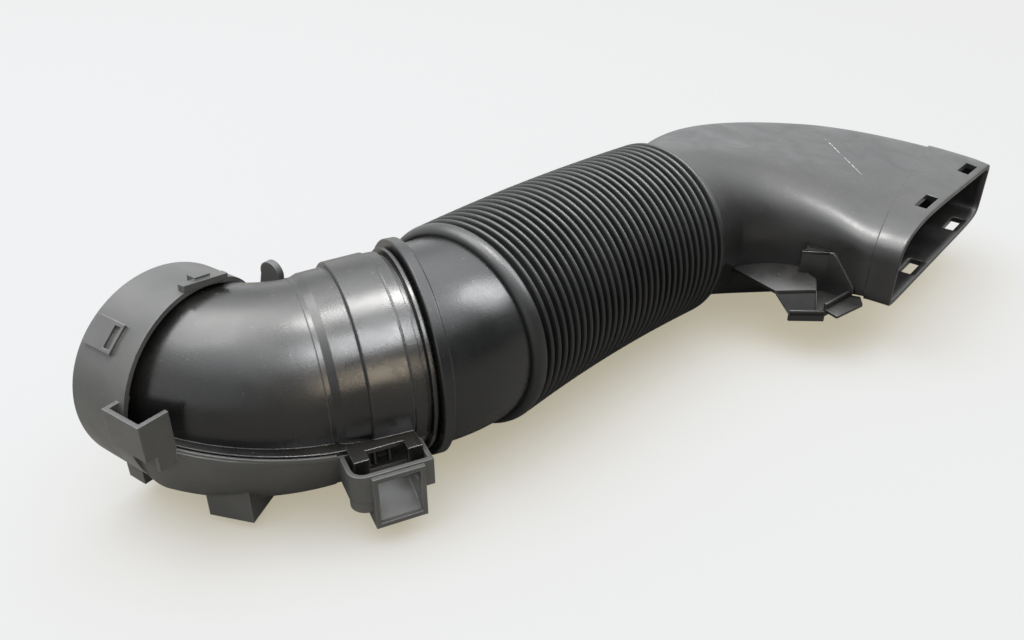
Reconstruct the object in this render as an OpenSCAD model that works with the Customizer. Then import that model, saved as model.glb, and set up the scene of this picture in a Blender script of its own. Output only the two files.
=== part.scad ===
// Air intake duct: a clip-together elbow, a short connecting tube, a bellows hose and a
// snorkel that bends and flattens into a wide mouth. All of it lies along one level
// centreline. The origin is the centre of the elbow's open collar, +Z is up and +X runs
// along the start of the bellows hose. Lengths are millimetres, angles are degrees.

/* [Collar] */
// Radius of the collar's bore, which takes the air cleaner's stub
collar_bore_r = 40; // [38:0.5:41]
// Wall of the collar ring
collar_wall = 2; // [1.6:0.1:2.4]
// Length of the collar ring on its axis
collar_len = 26; // [23:0.5:30]
// Slope of the ring's inner end towards the inside of the bend
collar_slope = 7; // [0:1:10]
// Depth of the stop behind the collar's mouth
collar_stop = 16; // [12:1:17]

/* [Elbow] */
// Turn of the elbow
elbow_turn = 60; // [50:1:70]
// Radius of the elbow's centreline
elbow_bend_r = 54; // [52:1:64]
// Straight length between the collar's mouth and the bend
elbow_lead = 5; // [4:0.5:8]
// Outer radius of the upper shell
upper_r = 38; // [37.5:0.5:39]
// Outer radius of the lower shell
lower_r = 43.2; // [42.4:0.2:45]
// Drop of the lower shell's centre below the centreline
lower_drop = 4.5; // [3:0.5:6]
// Wall of both shells
shell_wall = 2; // [1.6:0.1:2.2]
// Height of the parting plane at the collar
seam_height = 0; // [-4:0.5:0]
// Slope of the parting plane from the collar down to the tube end
seam_slope = 9.5; // [4:0.5:10]
// Length of the straight neck that grips the connecting tube
neck_len = 40.5; // [38:0.5:44]
// Outer radius of the neck's band
neck_r = 42.7; // [42.3:0.1:44]

/* [Connecting tube] */
// Outer radius of the tube
tube_r = 42.9; // [42.4:0.1:44]
// Wall of the tube
tube_wall = 2; // [1.6:0.1:2.4]
// Turn inside the tube
tube_turn = 25; // [15:1:26]
// Radius of the tube's flange
tube_flange_r = 46.3; // [45:0.1:48]
// Width of the tube's flange
tube_flange_w = 4.9; // [3:0.1:6]

/* [Bellows hose] */
// Radius over the crests
crest_r = 47; // [46:0.5:50]
// Depth of the grooves between the crests
groove_depth = 4; // [2.5:0.1:4.4]
// Number of crests
crest_count = 30; // [24:1:30]
// Length from the first crest to the last
bellows_len = 137; // [120:1:150]
// Turn of the hose as it lies
bellows_turn = 9; // [0:1:14]
// Wall of the hose
hose_wall = 1.2; // [1:0.1:1.4]
// Length of the tube and of the snorkel inside the hose's ends
grip_len = 12; // [8:1:14]

/* [Snorkel] */
// Turn of the snorkel
snorkel_turn = 81; // [70:1:85]
// Radius of the snorkel's centreline
snorkel_bend_r = 107; // [95:1:120]
// Straight length between the hose and the snorkel's bend
snorkel_lead = 17; // [10:1:30]
// Straight length before the mouth
snorkel_end = 8; // [4:1:20]
// Width of the mouth
mouth_w = 144; // [120:1:150]
// Height of the mouth on the inside of the bend
mouth_near_h = 41; // [34:1:46]
// Height of the mouth on the outside of the bend
mouth_far_h = 33; // [24:1:40]
// Height of the far side before it drops to the mouth
far_h = 43; // [34:1:48]
// Level of the mouth's flat floor
mouth_floor = -20.5; // [-24:0.5:-16]
// Wall of the snorkel
snorkel_wall = 2; // [1.6:0.1:2.4]

/* [Hidden] */
$fn = 96;
shell_colour = [0.09, 0.09, 0.10];
lower_colour = [0.07, 0.08, 0.08];
tube_colour = [0.06, 0.06, 0.07];
hose_colour = [0.05, 0.05, 0.05];
snorkel_colour = [0.11, 0.11, 0.11];
seal_colour = [0.16, 0.16, 0.17];
// Clearance between pieces that slide together
fit_gap = 0.1;
// Half size of the blocks that stand for half spaces
space = 200;

// A pose is [x, y, heading] on the level centreline
function ahead(p, d) = [p.x + d * cos(p[2]), p.y + d * sin(p[2]), p[2]];
function turn_left(p, r, a) =
    [p.x + r * (sin(p[2] + a) - sin(p[2])), p.y - r * (cos(p[2] + a) - cos(p[2])), p[2] + a];
function turn_right(p, r, a) =
    [p.x - r * (sin(p[2] - a) - sin(p[2])), p.y + r * (cos(p[2] - a) - cos(p[2])), p[2] - a];
// Point beside a pose: out to the right of travel, up
function beside(p, out, up) = [p.x + out * sin(p[2]), p.y - out * cos(p[2]), up];

// Centreline, from the collar's mouth to the snorkel's mouth
neck_gap = 0.6;
flange_at = neck_len + neck_gap;
// Room between the tube's wall and the centre of its bend
tube_bend_room = 3.2;
tube_bend_r = tube_r + tube_bend_room;
cuff_lip = 5;
collar_pose = [0, 0, -elbow_turn - tube_turn];
bend_pose = ahead(collar_pose, elbow_lead);
neck_pose = turn_left(bend_pose, elbow_bend_r, elbow_turn);
tube_bend_pose = ahead(neck_pose, flange_at + tube_flange_w);
cuff_pose = turn_left(tube_bend_pose, tube_bend_r, tube_turn);
hose_len = bellows_len + 2 * cuff_lip;
hose_arc_len = hose_len - 2 * (grip_len + cuff_lip);
hose_arc_r = hose_arc_len / max(bellows_turn, 0.01) * 180 / PI;
hose_arc_pose = ahead(cuff_pose, grip_len + cuff_lip);
hose_end_arc_pose = turn_right(hose_arc_pose, hose_arc_r, bellows_turn);
snorkel_pose = ahead(hose_end_arc_pose, grip_len + cuff_lip);
snorkel_bend_pose = ahead(snorkel_pose, snorkel_lead);
mouth_bend_pose = turn_right(snorkel_bend_pose, snorkel_bend_r, snorkel_turn);
mouth_pose = ahead(mouth_bend_pose, snorkel_end);

// Placing and sweeping. A section's first axis points out of the bend, its second up
module at_pose(p) {
    translate([p.x, p.y, 0]) rotate([0, 0, p[2]]) children();
}
module along_axis() {
    rotate([0, 90, 0]) children();
}
module ring(inner, outer, from, to) {
    along_axis() rotate_extrude() translate([inner, from]) square([outer - inner, to - from]);
}
module rod(radius, from, to) {
    along_axis() translate([0, 0, from]) cylinder(r = radius, h = to - from);
}
module bend(radius, from, to) {
    translate([0, radius, 0]) rotate([0, 0, from - 90])
        rotate_extrude(angle = to - from) translate([radius, 0]) children();
}
module run(length) {
    rotate([90, 0, 90]) linear_extrude(length) mirror([1, 0]) children();
}
// A block in travel coordinates: from and to are [along, out to the right, up]
module block(from, to) {
    translate([from.x, -to.y, from.z]) cube([to.x - from.x, to.y - from.y, to.z - from.z]);
}

// Parting plane of the elbow
chord_heading = collar_pose[2] + elbow_turn / 2;
module on_seam() {
    rotate([0, 0, chord_heading]) rotate([0, seam_slope, 0]) translate([0, 0, seam_height])
        children();
}
module above_seam() {
    on_seam() translate([-space, -space, 0]) cube([2 * space, 2 * space, space]);
}
module below_seam() {
    on_seam() translate([-space, -space, -space]) cube([2 * space, 2 * space, space]);
}
module seam_slab(from, to) {
    on_seam() translate([-space, -space, from]) cube([2 * space, 2 * space, to - from]);
}

// Elbow: shared measures
// Radial step that keeps two joined walls apart where one runs into the other
step = 0.3;
// Depth that a joined wall reaches into the next
reach = 1;
airway_r = upper_r - shell_wall;
lower_in_r = lower_r - shell_wall;
ring_r = collar_bore_r + collar_wall;
plate_angle = 15;
plate_turn = 2.2;
plate_set = 0.6;
band_at = 14;
band_wall = 0.6;
spigot_at = band_at + band_wall + 2 * fit_gap;
seal_at = 16;
bore_at = 21;
spigot_r = 38.3;
seal_r = 41;
neck_bore_r = spigot_r + 2 * fit_gap;
neck_root_r = seal_r + step;
flange_h = 2;
// Width of the lower shell's rim outside the upper shell's flange
seam_rim = 1.5;
flange_r = lower_r - seam_rim;
lip_gap = 0.3;
lip_h = [-0.6, 1.2];
// Depth that a bracket's foot reaches into the lower shell
root_depth = 0.9;

// Sections of the shells
module hoop(inner, outer) {
    difference() {
        circle(r = outer);
        circle(r = inner);
    }
}
module lower_disc(radius) {
    translate([0, -lower_drop]) circle(r = radius);
}
module lower_hoop(inset) {
    translate([0, -lower_drop]) hoop(lower_in_r + inset, lower_r - inset);
}
module closing_plate(radius, hole) {
    difference() {
        lower_disc(radius);
        circle(r = hole);
    }
}
// Upright strips on both sides of the section, between two radii
strip_h = [-26, 10];
module side_strips(inner, outer) {
    for (side = [0, 1]) mirror([side, 0])
        translate([inner, strip_h[0]]) square([outer - inner, strip_h[1] - strip_h[0]]);
}
// Room inside the lower shell's outer face, which brackets on it are cut to
core_lead = 3;
module elbow_core() {
    at_pose(bend_pose) bend(elbow_bend_r, plate_angle - core_lead, elbow_turn)
        lower_disc(lower_r - root_depth);
}
// Room of the neck, and more before and after it, for what stands beside it
room_spare = 25;
module neck_room(radius) {
    at_pose(neck_pose) translate([-room_spare, 0, 0]) run(neck_len + 2 * room_spare)
        lower_disc(radius);
}

// Neck: the shell's turned profile with its room for the spigot and the seal. Outside it
// has a step, a fine line, the clip groove and an end ridge
line_at = 30.6;
clip_groove_at = 35.6;
ridge_at = 38.2;
clip_groove_depth = 2.6;
clip_groove_r = neck_r - clip_groove_depth;
// Falls of the outside below the neck's radius: at its start, in the line and past it
start_fall = [1.4, 0.8];
line_fall = 0.9;
past_line_fall = 0.6;
neck_edge = 0.6;
line_edge = 0.4;
groove_edge = 0.3;
ridge_h = 0.4;
ridge_w = 1.4;
module neck_profile() {
    polygon([
        [airway_r, band_at],
        [neck_r - start_fall[0], band_at],
        [neck_r - start_fall[1], band_at + neck_edge],
        [neck_r, line_at - line_edge],
        [neck_r - line_fall, line_at],
        [neck_r - past_line_fall, line_at + neck_edge],
        [neck_r - past_line_fall, clip_groove_at],
        [clip_groove_r, clip_groove_at + groove_edge],
        [clip_groove_r, ridge_at - groove_edge],
        [neck_r + ridge_h, ridge_at],
        [neck_r + ridge_h, ridge_at + ridge_w],
        [neck_r - ridge_h, neck_len],
        [neck_bore_r, neck_len],
        [neck_bore_r, bore_at],
        [seal_r, bore_at],
        [seal_r, seal_at],
        [neck_bore_r, seal_at],
        [neck_bore_r, band_at + band_wall],
        [airway_r, band_at + band_wall]]);
}
module neck_band() {
    at_pose(neck_pose) along_axis() rotate_extrude() neck_profile();
}

// Elbow, lower shell
inner_cut_angle = 28;
inner_cut = [17.3, 28];
// The stop ends where the ring's slanted inner end passes it
web_to = inner_cut.y + (inner_cut.x - collar_stop) / tan(inner_cut_angle) + step;
module behind(at, slope) {
    translate([at.x, at.y, 0]) rotate([0, 0, slope])
        translate([0, -space, -space]) cube([space, 2 * space, 2 * space]);
}
module collar_ring() {
    at_pose(collar_pose) difference() {
        ring(collar_bore_r, ring_r, 0, 2 * collar_len);
        behind([collar_len, 0], collar_slope);
        behind(inner_cut, inner_cut_angle);
    }
}
// Room of the air cleaner's stub
module stub_room() {
    at_pose(collar_pose) rod(collar_bore_r, -reach, collar_stop);
}
stop_lip = 1.4;
module collar_stop_web() {
    at_pose(collar_pose) intersection() {
        ring(airway_r - stop_lip, collar_bore_r + collar_wall / 2, collar_stop,
            collar_stop + shell_wall);
        translate([0, web_to - space, -space]) cube([space, space, 2 * space]);
    }
}
// Sleeve that carries the air from the stop to the plate, under the ring
module lower_sleeve() {
    intersection() {
        at_pose(bend_pose)
            bend(elbow_bend_r, 0, plate_angle + plate_turn / 2) hoop(airway_r + step, upper_r);
        at_pose(collar_pose) behind([collar_stop + shell_wall / 2, 0], 0);
        below_seam();
    }
}
module lower_body() {
    intersection() {
        difference() {
            at_pose(bend_pose) {
                bend(elbow_bend_r, plate_angle + plate_set, elbow_turn) lower_hoop(0);
                bend(elbow_bend_r, plate_angle, plate_angle + plate_turn)
                    closing_plate(lower_r - step, airway_r);
            }
            stub_room();
        }
        below_seam();
    }
}
module lower_neck() {
    intersection() {
        union() {
            at_pose(neck_pose) {
                translate([-reach, 0, 0]) run(band_at - shell_wall + 2 * reach) lower_hoop(step);
                translate([band_at - shell_wall, 0, 0])
                    run(shell_wall + step) closing_plate(lower_r, airway_r + step);
            }
            neck_band();
        }
        below_seam();
    }
}
// Lip that stands up beside the upper shell's flange
module seam_lip() {
    intersection() {
        at_pose(bend_pose) bend(elbow_bend_r, plate_angle + plate_set / 2, elbow_turn - plate_set)
            side_strips(flange_r + lip_gap, lower_r - lip_gap);
        seam_slab(lip_h[0], lip_h[1]);
    }
}
// Raised window land on the ring, with its dark slot
land_angle = 47;
land_at = 2.5;
land_size = [16, 12, 2.2];
land_slot = [3.6, 9];
land_edge = 1;
module window_land() {
    at_pose(collar_pose) rotate([90 - land_angle, 0, 0])
        translate([land_at, 0, ring_r - collar_wall / 2]) difference() {
            translate([0, -land_size.y / 2, 0]) cube(land_size);
            translate([land_size.x - land_slot.x - land_edge, -land_slot.y / 2, -reach])
                cube([land_slot.x, land_slot.y, 2 * land_size.z]);
        }
}
// Hook bar that crosses the ring's inner edge at the top, with its bump
hook_angle = 98;
hook_bar_from = [23.2, -10];
hook_bar_size = [3.4, 20, 2.6];
hook_bump_from = [20, -3.5];
hook_bump_size = [4.6, 7, 3.6];
module hook_bar() {
    at_pose(collar_pose) rotate([90 - hook_angle, 0, 0]) translate([0, 0, ring_r - collar_wall / 2]) {
        translate(hook_bar_from) cube(hook_bar_size);
        translate(hook_bump_from) cube(hook_bump_size);
    }
}
// Open box that straddles the ring's inner end on the outside of the bend
box_from = [26.5, 33, -1];
box_to = [47, 45.5, 14];
box_wall = 1.8;
box_root = 7;
module box_bracket() {
    difference() {
        at_pose(collar_pose) {
            difference() {
                block(box_from, box_to);
                block(box_from + [box_wall, -reach, box_wall],
                    box_to + [-box_wall, -box_wall, reach]);
            }
            block([box_to.x - box_wall, box_from.y, box_from.z - box_root],
                [box_to.x, ring_r - reach, box_from.z + box_wall]);
        }
        at_pose(collar_pose) rod(ring_r - collar_wall / 2, 0, collar_len + 2 * reach);
        elbow_core();
    }
}
// Lug, foot and ear that locate the elbow on its neighbours
lug_turn = 20;
lug_wall = 2;
lug_lift = 4.7;
lug_from = [9.5, 14, lug_lift - lower_drop - lower_r];
lug_to = [28.5, 32, -22];
module lug() {
    difference() {
        at_pose(turn_left(bend_pose, elbow_bend_r, lug_turn)) difference() {
            block(lug_from, lug_to);
            block(lug_from + [lug_wall, -reach, -reach], lug_to + [-lug_wall, -lug_wall, reach]);
        }
        elbow_core();
    }
}
foot_lift = 4;
foot_from = [3, 20, foot_lift - ring_r];
foot_to = [13, 30, -26];
module foot() {
    at_pose(collar_pose) difference() {
        block(foot_from, foot_to);
        rod(ring_r - collar_wall / 2, 0, collar_len);
    }
}
// The ear's round head stands at [along, up], on a plate that runs down beside the ring
ear_r = 5.5;
ear_at = [16, 26];
ear_out = 45.5;
ear_t = 3;
ear_root = [5, 13];
ear_foot = -10;
ear_taper = [1, 2];
ear_rib_top = 8;
module ear() {
    difference() {
        at_pose(collar_pose) {
            translate([0, ear_out + ear_t / 2, 0]) rotate([90, 0, 0]) linear_extrude(ear_t) {
                translate(ear_at) circle(r = ear_r);
                polygon([
                    [ear_at.x - ear_r + step, ear_at.y],
                    [ear_root[0] + ear_taper[1], ear_at.y / 2],
                    [ear_root[0] + ear_taper[0], ear_foot],
                    [ear_root[1], ear_foot],
                    [ear_root[1] + ear_taper[1], ear_at.y / 2],
                    [ear_at.x + ear_r - step, ear_at.y]]);
            }
            block([ear_root[0], -ear_out, ear_foot + ear_taper[1]],
                [ear_root[1] - ear_taper[1], reach - ring_r, ear_rib_top]);
        }
        elbow_core();
    }
}
// Latch housing beside the neck, open on top, with its column and the clip frame
latch_top = -14;
latch_depth = 12;
latch_floor = latch_top - latch_depth;
latch_wall = 1.8;
latch_from = 0;
latch_to = 32;
latch_in = 30;
latch_out = 57;
column_r = 6.5;
column_foot = -31;
frame_proud = 1.5;
frame_drop = 1;
frame_from = [7.5, 28, -38.5];
frame_to = [28, latch_out + frame_proud, latch_top - frame_drop];
frame_wall = 2;
frame_back = 41;
ramp_h = 9;
ramp_lip = 0.4;
module latch_outline(inset) {
    centre = [latch_from + column_r, -latch_out + column_r];
    polygon(concat(
        [for (a = [180 : 15 : 270]) centre + (column_r - inset) * [cos(a), sin(a)]],
        [[latch_to - inset, -latch_out + inset], [latch_to - inset, -latch_in],
         [latch_from + inset, -latch_in]]));
}
module clip_window() {
    block([frame_from.x + frame_wall, frame_back, frame_from.z + frame_wall],
        [frame_to.x - frame_wall, frame_to.y + reach, frame_to.z - frame_wall]);
}
module clip_ramp() {
    translate([frame_from.x + reach, 0, 0]) rotate([90, 0, 90])
        linear_extrude(frame_to.x - frame_from.x - 2 * reach) mirror([1, 0]) polygon([
            [frame_back - reach, frame_from.z + reach],
            [frame_to.y - frame_wall, frame_from.z + reach],
            [frame_to.y - frame_wall, frame_from.z + frame_wall + ramp_lip],
            [frame_back - reach, frame_from.z + frame_wall + ramp_h]]);
}
module latch() {
    difference() {
        at_pose(neck_pose) {
            difference() {
                union() {
                    translate([0, 0, latch_floor]) linear_extrude(latch_depth) latch_outline(0);
                    translate([latch_from + column_r, -latch_out + column_r, column_foot])
                        cylinder(r = column_r - step, h = latch_floor - column_foot + reach);
                    block([latch_from + reach, latch_in, column_foot],
                        [latch_from + 2 * column_r - reach, latch_out - column_r, latch_floor + reach]);
                    block(frame_from, frame_to);
                }
                translate([0, 0, latch_floor + latch_wall]) linear_extrude(latch_depth)
                    latch_outline(latch_wall);
                clip_window();
            }
            clip_ramp();
        }
        at_pose(neck_pose) rod(neck_root_r, -reach, neck_len + reach);
        intersection() {
            neck_room(lower_r - root_depth);
            at_pose(neck_pose) behind([band_at - shell_wall / 2, 0], 180);
        }
        intersection() {
            neck_room(lower_r + lip_gap);
            above_seam();
        }
    }
}
module elbow_lower_shell() {
    color(lower_colour) {
        collar_ring();
        collar_stop_web();
        lower_sleeve();
        lower_body();
        lower_neck();
        seam_lip();
        window_land();
        hook_bar();
        box_bracket();
        lug();
        foot();
        ear();
        latch();
    }
}

// Elbow, upper shell
soft_step = 1.4;
soft_from = 1;
soft_to = 4;
soft_rise = 0.6;
module upper_neck_profile() {
    polygon([
        [airway_r - step, -reach],
        [upper_r + step, -reach],
        [upper_r + step, soft_from],
        [upper_r + soft_step, soft_to],
        [upper_r + soft_step + soft_rise, band_at + band_wall / 2],
        [airway_r - step, band_at + band_wall / 2]]);
}
// Where the upper shell starts: behind the stop, and behind the ring's slanted inner end
module past_ring() {
    difference() {
        at_pose(collar_pose) union() {
            behind([collar_stop + shell_wall, 0], 0);
            intersection() {
                behind([inner_cut.x + step, inner_cut.y], inner_cut_angle);
                translate([0, web_to + step, -space]) cube([space, space, 2 * space]);
            }
        }
        stub_room();
    }
}
module seam_flange() {
    intersection() {
        past_ring();
        union() {
            at_pose(bend_pose) bend(elbow_bend_r, plate_angle + plate_turn, elbow_turn)
                side_strips(airway_r + shell_wall / 4, flange_r);
            at_pose(neck_pose) translate([-reach, 0, 0]) run(band_at + reach + step)
                side_strips(airway_r + shell_wall / 2, flange_r - step);
        }
        seam_slab(0, flange_h);
    }
}
module upper_body() {
    intersection() {
        union() {
            at_pose(bend_pose) bend(elbow_bend_r, 0, elbow_turn) hoop(airway_r, upper_r);
            at_pose(neck_pose) along_axis() rotate_extrude() upper_neck_profile();
            neck_band();
        }
        above_seam();
        past_ring();
    }
}
// Tongue with two hooks and two barbs, which snaps into the latch housing
tongue_lift = 1;
tongue_z = latch_top + tongue_lift;
tongue_t = 2;
tongue_from = 3;
tongue_to = 30;
tongue_out = 45.5;
hook_out = 51;
hook_w = 6;
hook_drop = 8;
hook_at = [tongue_from, tongue_to - hook_w];
barb_r = 1.3;
barb_drop = 7;
barb_at = [13, 19];
module tongue() {
    difference() {
        at_pose(neck_pose) difference() {
            union() {
                block([tongue_from, neck_root_r - 2 * shell_wall, tongue_z],
                    [tongue_to, tongue_out, tongue_z + tongue_t]);
                for (x = hook_at) {
                    block([x, tongue_out - reach, tongue_z], [x + hook_w, hook_out, tongue_z + tongue_t]);
                    block([x, hook_out - tongue_t, tongue_z - hook_drop],
                        [x + hook_w, hook_out, tongue_z + tongue_t / 2]);
                }
                for (x = barb_at) {
                    translate([x, -tongue_out + 2 * barb_r, tongue_z - barb_drop])
                        cylinder(r = barb_r, h = barb_drop + tongue_t / 2);
                }
            }
            rod(neck_root_r, -reach, neck_len);
        }
        intersection() {
            neck_room(lower_r + lip_gap);
            below_seam();
        }
    }
}
module elbow_upper_shell() {
    color(shell_colour) {
        upper_body();
        seam_flange();
        tongue();
    }
}

// Seal ring in the neck's chamber, around the tube's spigot
module elbow_seal() {
    color(seal_colour) at_pose(neck_pose) ring(spigot_r, seal_r, seal_at, bore_at);
}

// Connecting tube: spigot, flange, bend, and the end that the hose grips
grip_step = 1.5;
grip_r = tube_r - grip_step;
grip_wall = 1.7;
tube_edge = 0.5;
module spigot_profile() {
    flange_end = flange_at + tube_flange_w;
    polygon([
        [spigot_r - tube_wall, spigot_at],
        [spigot_r, spigot_at],
        [spigot_r, flange_at],
        [tube_flange_r - tube_edge, flange_at],
        [tube_flange_r, flange_at + tube_edge],
        [tube_flange_r, flange_end - tube_edge],
        [tube_flange_r - tube_edge, flange_end],
        [tube_r + step, flange_end],
        [tube_r + step, flange_end + reach],
        [tube_r - tube_wall - step, flange_end + reach],
        [tube_r - tube_wall - step, flange_end],
        [spigot_r - tube_wall, flange_at - reach]]);
}
module connecting_tube() {
    color(tube_colour) {
        at_pose(neck_pose) along_axis() rotate_extrude() spigot_profile();
        at_pose(tube_bend_pose) bend(tube_bend_r, 0, tube_turn) hoop(tube_r - tube_wall, tube_r);
        at_pose(cuff_pose) ring(grip_r - grip_wall, grip_r, -reach, grip_len + cuff_lip);
    }
}

// Bellows hose: one solid swept along the hose's centreline
sides = 32;
pitch = bellows_len / (crest_count - 1);
crest_w = 0.36;
grip_crests = 3;
cuff_bore_r = (grip_r + fit_gap) / cos(180 / sides);
root_in_r = crest_r - groove_depth - hose_wall;
crest_in_r = crest_r - hose_wall;
function hose_pose_at(s) =
    s <= grip_len + cuff_lip ? ahead(cuff_pose, s)
    : s >= hose_len - grip_len - cuff_lip
    ? ahead(hose_end_arc_pose, s - (hose_len - grip_len - cuff_lip))
    : turn_right(hose_arc_pose, hose_arc_r, bellows_turn * (s - grip_len - cuff_lip) / hose_arc_len);
// Outer rings [station, radius]: a rounded cuff shoulder, then crest, crest, root for each pitch
cuff_edge = 0.3;
cuff_swell = 0.9;
cuff_fall = 1.2;
cuff_round = 1.6;
cuff_rise = [[0, tube_r + cuff_edge], [cuff_round, tube_r + cuff_swell], [2 * cuff_round, crest_r - cuff_fall]];
function crest_rings(k) = let (s = cuff_lip + k * pitch)
    k == crest_count - 1
    ? [[s - crest_w * pitch / 2, crest_r], [s + crest_w * pitch / 2, crest_r]]
    : [[s - crest_w * pitch / 2, crest_r], [s + crest_w * pitch / 2, crest_r],
       [s + pitch / 2, crest_r - groove_depth]];
outer_rings = concat(
    cuff_rise,
    [for (k = [0 : crest_count - 1]) each crest_rings(k)],
    [for (c = cuff_rise) [hose_len - cuff_lip + cuff_rise[2].x - c.x, c.y]]);
// Inner rings [station, radius], from the far end back: a plain bore over the grip, folds between
inner_from = grip_len + cuff_lip;
inner_rings = concat(
    [[hose_len - cuff_lip + cuff_rise[2].x, cuff_bore_r], [hose_len - inner_from, cuff_bore_r]],
    [for (k = [crest_count - 1 - grip_crests : -1 : grip_crests])
        each [[cuff_lip + (k + 0.5) * pitch, root_in_r], [cuff_lip + k * pitch, crest_in_r]]],
    [[inner_from, cuff_bore_r], [0, cuff_bore_r]]);
module swept_tube(rings, n) {
    count = len(rings);
    points = [for (q = rings) let (p = hose_pose_at(q.x)) for (i = [0 : n - 1])
        beside(p, q.y * cos(360 * i / n), q.y * sin(360 * i / n))];
    faces = [for (j = [0 : count - 1]) for (i = [0 : n - 1]) let (k = (j + 1) % count, m = (i + 1) % n)
        each [[j * n + i, k * n + m, k * n + i], [j * n + i, j * n + m, k * n + m]]];
    polyhedron(points = points, faces = faces, convexity = 10);
}
module bellows_hose() {
    color(hose_colour) swept_tube(concat(outer_rings, inner_rings), sides);
}

// Snorkel: round at the hose, flattening over its bend into a wide mouth
mouth_sides = 48;
snorkel_steps = 18;
band_steps = 2;
band_len = 25;
band_t = 0.8;
band_edge = 0.5;
snorkel_start_r = grip_r;
snorkel_arc_len = snorkel_bend_r * snorkel_turn * PI / 180;
snorkel_len = snorkel_lead + snorkel_arc_len + snorkel_end;
snorkel_in = grip_len + cuff_rise[2].x;
flat_len = 28;
drop_len = 70;
drop_power = 1.5;
// Sharpness of the section's corners at the mouth: near top, far top, far bottom, near bottom
corner_power = [3.2, 16, 8, 16];
round_power = 2;
function snorkel_pose_at(s) =
    s <= snorkel_lead ? ahead(snorkel_pose, s)
    : s >= snorkel_lead + snorkel_arc_len ? ahead(mouth_bend_pose, s - snorkel_lead - snorkel_arc_len)
    : turn_right(snorkel_bend_pose, snorkel_bend_r, snorkel_turn * (s - snorkel_lead) / snorkel_arc_len);
function ease(t) = let (u = min(max(t, 0), 1)) u * u * (3 - 2 * u);
function mix(a, b, t) = a * (1 - t) + b * t;
function rounded(c, n) = sign(c) * pow(abs(c), 2 / n);
// Share of the flattening at a station
function flat_at(s) = ease(s / (snorkel_len - flat_len));
// Roof level at a place across the mouth, 1 at the inside of the bend and -1 at the outside
function roof(c, d) = mouth_floor + mix(mix(far_h, mouth_far_h, d), mouth_near_h, (c + 1) / 2);
// How far the mouth's near side leans out towards the floor
near_lean = 3;
function lean(c, up) = near_lean * max(c, 0) * (1 - up) / 2;
// Section at share t of the flattening and d of the far side's drop, at angle a, less a wall
function section_point(t, d, a, wall) = let (
        n = mix(round_power, corner_power[floor(a / 90)], t),
        c = rounded(cos(a), n),
        s = rounded(sin(a), n),
        mid = (roof(c, d) + mouth_floor) / 2,
        half = (roof(c, d) - mouth_floor) / 2)
    [mix((snorkel_start_r - wall) * c, (mouth_w / 2 - wall) * c + lean(c, s), t),
     mix((snorkel_start_r - wall) * s, mid + (half - wall) * s, t)];
function snorkel_ring(s, wall) = let (
        p = snorkel_pose_at(s),
        d = pow(max(0, 1 - (snorkel_len - s) / drop_len), drop_power))
    [for (i = [0 : mouth_sides - 1])
        let (a = 360 * i / mouth_sides, q = section_point(flat_at(s), d, a, wall)) beside(p, q.x, q.y)];
band_from = snorkel_len - band_len;
snorkel_stations = concat(
    [-snorkel_in, 0],
    [for (i = [1 : snorkel_steps]) band_from * i / snorkel_steps],
    [band_from + band_edge],
    [for (i = [1 : band_steps]) band_from + band_len * i / band_steps]);
module snorkel_shell() {
    n = mouth_sides;
    outer = [for (s = snorkel_stations) each snorkel_ring(s, s > band_from ? -band_t : 0)];
    rows = len(snorkel_stations);
    inner = [for (j = [rows - 1 : -1 : 0]) each snorkel_ring(snorkel_stations[j], snorkel_wall)];
    count = 2 * rows;
    faces = [for (j = [0 : count - 1]) for (i = [0 : n - 1]) let (k = (j + 1) % count, m = (i + 1) % n)
        each [[j * n + i, k * n + m, k * n + i], [j * n + i, j * n + m, k * n + m]]];
    polyhedron(points = concat(outer, inner), faces = faces, convexity = 10);
}
// Slots behind the mouth's edge, through the roof and the floor
slot_across = [-25.5, 46];
slot_size = [6, 19];
slot_back = 6.4;
module mouth_slots() {
    at_pose(mouth_pose) for (y = slot_across) {
        translate([-slot_back - slot_size.x / 2, y - slot_size.y / 2, -space / 2])
            cube([slot_size.x, slot_size.y, space]);
    }
}

// Bracket on the inside of the bend: a web, a ramp down to a tray with its rim and lip, and
// an upright hook plate. Its outline points are [along from the mouth, out from its near side]
function on_bracket(q) = let (p = beside(ahead(mouth_pose, q.x), mouth_w / 2 + q.y, 0)) [p.x, p.y];
// Plan point on the snorkel's near side at a station and a height, moved out
function near_side(s, z, out) = let (
        t = flat_at(s),
        n = mix(round_power, corner_power[3], t),
        depth = mix(snorkel_start_r, mouth_near_h / 2, t),
        level = t * (mouth_floor + mouth_near_h / 2),
        up = (z - level) / depth,
        c = pow(1 - pow(abs(up), n), 1 / n),
        width = mix(snorkel_start_r * c, mouth_w / 2 * c + lean(c, up), t),
        p = beside(snorkel_pose_at(s), width + out, 0))
    [p.x, p.y];
// Corners of a straight strip from a to b, with its width to the left
function strip(a, b, w) = let (d = (b - a) / norm(b - a), side = [-d.y, d.x])
    [a, b, b + w * side, a + w * side];
module plate(outline, from, to) {
    translate([0, 0, from]) linear_extrude(to - from) polygon(outline);
}
bracket_t = 2;
ramp_share = 0.75;
rim_t = 1.6;
web_top = -12;
tray_top = -22;
rim_bottom = -27;
lip_top = -17;
hook_top = 0;
hook_slope = 49;
hook_slope_at = -31;
web_stations = [for (s = [14 : 8 : 70]) s];
hook_stations = [for (s = [74 : 10 : 134]) s];
web_step = [-35, 12];
web_corner = [-30, 23];
web_edge = [-45.5, 37];
tray_corner = [-37, 36];
tray_front = [-23, 25];
tray_root = [-18.8, 2.5];
flap = [[-15, 1], [-11, 8], [-16, 28]];
hook_rim = [[-45, 11], [-32, 2.5]];
hook_shelf = [76, 100];
flap_lift = 0.4;
wall_in = snorkel_wall / 2;
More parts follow.
